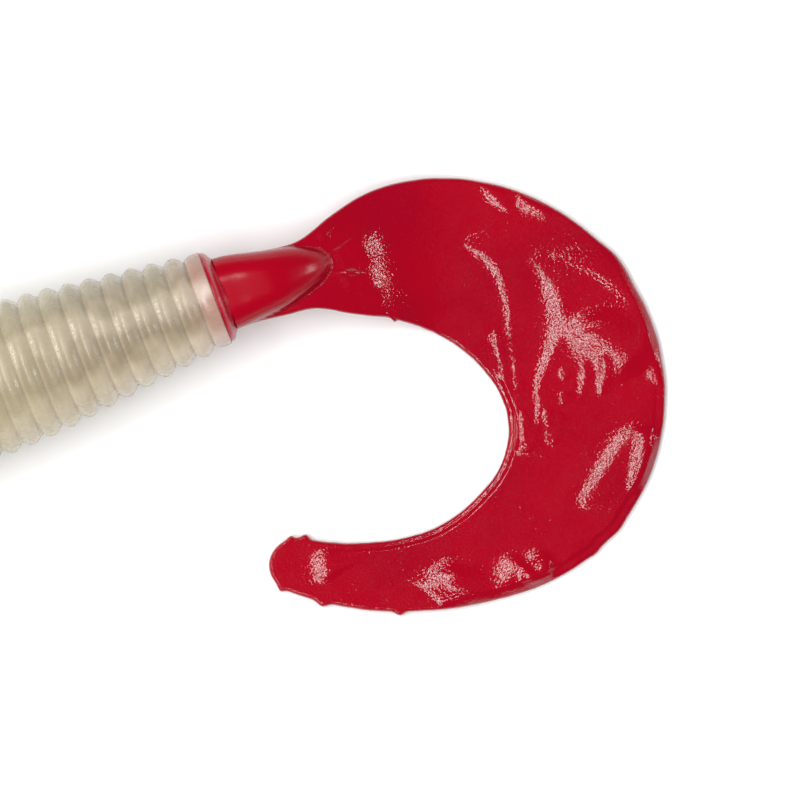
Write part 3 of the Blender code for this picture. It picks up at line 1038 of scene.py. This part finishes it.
def pearl_material():
    """Milky pearl plastic, with light and shade painted into its tone across its width and over
    each rib.
    """
    nodes = Nodes("pearl_body_plastic")
    x = nodes.part(0)
    cloud = nodes.noise(0.3, 1.0, 0.5)
    wander = nodes.math("MULTIPLY", nodes.math("SUBTRACT", cloud, 0.5), TONES_WANDER)
    across = nodes.math("ADD", nodes.across(), wander)
    # Painted light and shade across the body's width
    tone = nodes.bands(nodes.ramp(across, -1.0, 1.0, smooth=False), PEARL_PAINTED_SHADING)
    start, full, share = THICK_FRONT
    tone = nodes.mix(nodes.ramp(x, start, full, 0.0, share), tone, PEARL_THICK)
    tone = rib_tones(nodes, tone, rib_phase(nodes, x), across)
    nodes.put(nodes.shader, "Base Color", collar_tones(nodes, tone, x, across))
    nodes.put(nodes.shader, "IOR", PLASTIC_IOR)
    rough = nodes.ramp(nodes.noise(0.8, 2.0), *MOTTLE, *PEARL_ROUGHNESS)
    nodes.put(nodes.shader, "Roughness", rough)
    strength = nodes.ramp(nodes.math("ABSOLUTE", nodes.across()), *GRAIN_ACROSS)
    grain = nodes.math("MULTIPLY", nodes.noise(3.6, 2.0, 0.6), strength)
    nodes.put(nodes.shader, "Normal", nodes.bump(grain, PEARL_GRAIN))
    return nodes.material


# ------------------------------------------------------------------ the stage

# In metres, apart from the place that the camera looks down on, which is in millimetres
CAMERA_TURN_DEG = -20.6
CAMERA_OVER = (84.59, -16.09)
CAMERA_HEIGHT = 1.0
CAMERA_LENS = 450.0
FLOOR_REACH = 4.0
FLOOR_CLEARANCE = 0.00002
# The room's brightness from the horizon, 0, to straight up, 1: (sine of the elevation, brightness)
ROOM_TONES = ((0.0, 0.6), (0.08, 0.35), (0.2, 0.09), (0.4, 0.04), (1.0, 0.02))
# Softboxes that make the glints: (name, degrees from straight up, azimuth, size in metres,
# radiance). Azimuth 0 is to the camera's right.
SOFTBOXES = (
    ("left_upper", 26, 135, (0.74, 0.27), 14.0),
    ("left", 26, 185, (0.74, 0.27), 14.0),
    ("left_lower", 26, 235, (0.74, 0.27), 14.0),
    ("right", 76, 12, (0.32, 0.32), 15.0),
    ("far_left", 76, 178, (0.5, 0.36), 7.0),
)
SOFTBOX_DISTANCE = 2.0
OVERHEAD_DISTANCE = 1.8
OVERHEAD_SIZE = (1.8, 1.8)
OVERHEAD_RADIANCE = 3.0


def make_camera():
    """Straight above the tail, and far enough away to see little perspective."""
    data = bpy.data.cameras.new("camera")
    data.lens = CAMERA_LENS
    camera = bpy.data.objects.new("camera", data)
    camera.location = (CAMERA_OVER[0] * MM, CAMERA_OVER[1] * MM, CAMERA_HEIGHT)
    camera.rotation_euler = (0, 0, math.radians(CAMERA_TURN_DEG))
    bpy.context.scene.collection.objects.link(camera)
    bpy.context.scene.camera = camera


def make_floor():
    """White paper that the grub lies on."""
    mesh = bpy.data.meshes.new("floor")
    low = cad_low.z - FLOOR_CLEARANCE
    sides = ((-1, -1), (1, -1), (1, 1), (-1, 1))
    corners = [(FLOOR_REACH * x, FLOOR_REACH * y, low) for x, y in sides]
    mesh.from_pydata(corners, [], [(0, 1, 2, 3)])
    floor = bpy.data.objects.new("floor", mesh)
    bpy.context.scene.collection.objects.link(floor)
    material = bpy.data.materials.new("floor_paper")
    material.use_nodes = True
    shader = material.node_tree.nodes["Principled BSDF"]
    shader.inputs["Base Color"].default_value = PAPER
    shader.inputs["Roughness"].default_value = 0.8
    shader.inputs["Specular IOR Level"].default_value = 0.2
    mesh.materials.append(material)


def add_light(name, zenith_deg, azimuth_deg, distance, size, radiance, in_gloss=True):
    """A light that stands in that direction from the tail and faces it."""
    zenith = math.radians(zenith_deg)
    azimuth = math.radians(azimuth_deg + CAMERA_TURN_DEG)
    away = Vector((
        math.sin(zenith) * math.cos(azimuth),
        math.sin(zenith) * math.sin(azimuth),
        math.cos(zenith),
    ))
    data = bpy.data.lights.new(name, "AREA")
    data.shape = "RECTANGLE"
    data.size, data.size_y = size
    data.energy = radiance * math.pi * size[0] * size[1]
    light = bpy.data.objects.new(name, data)
    light.location = Vector((CAMERA_OVER[0] * MM, CAMERA_OVER[1] * MM, 0)) + away * distance
    light.rotation_euler = away.to_track_quat("Z", "Y").to_euler()
    light.visible_glossy = in_gloss
    bpy.context.scene.collection.objects.link(light)


def make_lights():
    """A broad light overhead that no gloss shows, and softboxes that make the glints."""
    add_light(
        "overhead", 0, 0, OVERHEAD_DISTANCE, OVERHEAD_SIZE, OVERHEAD_RADIANCE, in_gloss=False
    )
    for name, zenith_deg, azimuth_deg, size, radiance in SOFTBOXES:
        add_light(name, zenith_deg, azimuth_deg, SOFTBOX_DISTANCE, size, radiance)


def make_world():
    """A dim room, brightest at the horizon, where only steep sides reflect it."""
    world = bpy.data.worlds.new("studio")
    bpy.context.scene.world = world
    world.use_nodes = True
    tree = world.node_tree
    place = tree.nodes.new("ShaderNodeTexCoord")
    split = tree.nodes.new("ShaderNodeSeparateXYZ")
    ramp = tree.nodes.new("ShaderNodeValToRGB")
    tree.links.new(place.outputs["Generated"], split.inputs[0])
    tree.links.new(split.outputs[2], ramp.inputs[0])
    while len(ramp.color_ramp.elements) < len(ROOM_TONES):
        ramp.color_ramp.elements.new(0.5)
    for element, (where, value) in zip(ramp.color_ramp.elements, ROOM_TONES):
        element.position = where
        element.color = (value, value, value, 1)
    tree.links.new(ramp.outputs[0], tree.nodes["Background"].inputs[0])


def main():
    """The grub, then the stage it is seen on."""
    make_body(pearl_material())
    make_tail(red_material())
    make_plug(flange_material())
    make_camera()
    make_floor()
    make_lights()
    make_world()
    bpy.context.scene.view_settings.view_transform = "Standard"


main()
